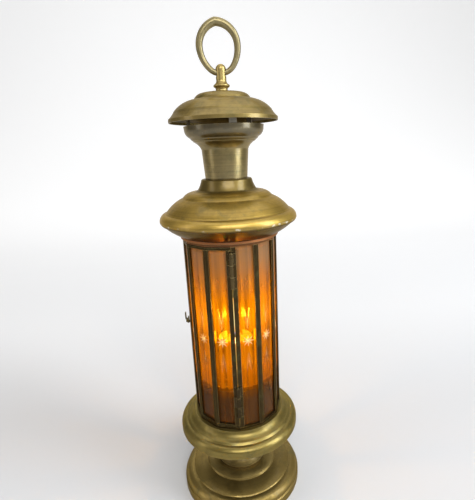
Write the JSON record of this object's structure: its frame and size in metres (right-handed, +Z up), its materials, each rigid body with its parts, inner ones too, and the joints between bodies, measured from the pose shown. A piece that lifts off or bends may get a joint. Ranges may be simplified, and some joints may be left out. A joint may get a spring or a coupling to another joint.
{
  "type": "candle lantern",
  "caption": "Hanging or standing brass candle lantern with a waisted foot, a polygonal body of star-cut amber panes with a hinged door, a tiered roof with a vented cap and a ring.",
  "frame": {"origin": "centre of the foot on the standing surface", "axes": "+Z up along the lantern's axis; -Y points out of the body's front corner, where the door is hinged; the door is on the -X side of that corner"},
  "size_m": [0.1402, 0.1402, 0.5056],
  "materials": {
    "foot_brass": "aged, darkened, satin",
    "stem_brass": "aged, satin",
    "gallery_brass": "aged, rubbed on the edges",
    "roof_brass": "aged, ochre, rubbed on the edges",
    "chimney_brass": "satin, smoked",
    "cap_brass": "aged, lathe marks",
    "ring_brass": "aged, handled",
    "frame_brass": "dark brown patina with pale edges",
    "inner_brass": "smoked",
    "plain_brass": "plain turned",
    "amber_glass": "bevelled, star-cut, amber",
    "wax": "candle wax",
    "wick": "burnt cotton"
  },
  "bodies": {
    "lantern": {"base_plate": "foot_brass", "bottom_rail": "frame_brass", "candle_cup": "inner_brass", "cap": "cap_brass", "cap_spacer": "cap_brass", "cap_spider": "cap_brass", "chimney": "chimney_brass", "corner_bar_1": "frame_brass", "corner_bar_2": "frame_brass", "corner_bar_3": "frame_brass", "corner_bar_4": "frame_brass", "corner_bar_5": "frame_brass", "corner_bar_6": "frame_brass", "corner_bar_7": "frame_brass", "corner_bar_8": "frame_brass", "finial": "ring_brass", "finial_nut": "plain_brass", "foot": "foot_brass", "foot_nut": "plain_brass", "foot_washer": "plain_brass", "frame_knuckles": "frame_brass", "gallery": "gallery_brass", "hinge_jamb": "frame_brass", "hinge_pins": "frame_brass", "keeper_stud": "frame_brass", "latch_jamb": "frame_brass", "pane_1": "amber_glass", "pane_2": "amber_glass", "pane_3": "amber_glass", "pane_4": "amber_glass", "pane_5": "amber_glass", "pane_6": "amber_glass", "pane_7": "amber_glass", "pane_8": "amber_glass", "pane_9": "amber_glass", "platform": "inner_brass", "platform_column": "inner_brass", "roof": "roof_brass", "roof_seat": "roof_brass", "stem": "stem_brass", "tie_rod": "plain_brass", "top_rail": "frame_brass"},
    "door": {"door_bar_1": "frame_brass", "door_bar_2": "frame_brass", "door_bottom_rail": "frame_brass", "door_hinge_stile": "frame_brass", "door_knuckles": "frame_brass", "door_latch_stile": "frame_brass", "door_pane_1": "amber_glass", "door_pane_2": "amber_glass", "door_pane_3": "amber_glass", "door_top_rail": "frame_brass", "latch_screw": "frame_brass"},
    "latch": {"latch_lever": "frame_brass"},
    "ring": {"hanging_ring": "ring_brass"},
    "candle": {"candle": "wax", "wick": "wick"}
  },
  "joints": [
    {"name": "door_swing", "type": "hinge", "parent": "lantern", "child": "door", "pos_m": [0, -0.0501, 0.2], "axis": [0, 0, 1], "range_deg": [0, 110]},
    {"name": "latch_turn", "type": "hinge", "parent": "door", "child": "latch", "pos_m": [-0.0508, -0.0016, 0.208], "axis": [1, 0, 0], "range_deg": [0, 100]},
    {"name": "ring_swing", "type": "hinge", "parent": "lantern", "child": "ring", "pos_m": [0, 0, 0.4584], "axis": [1, 0, 0], "range_deg": [-105, 105]},
    {"name": "candle_lift", "type": "slide", "parent": "lantern", "child": "candle", "axis": [0, 0, 1], "range_m": [0, 0.03]}
  ]
}
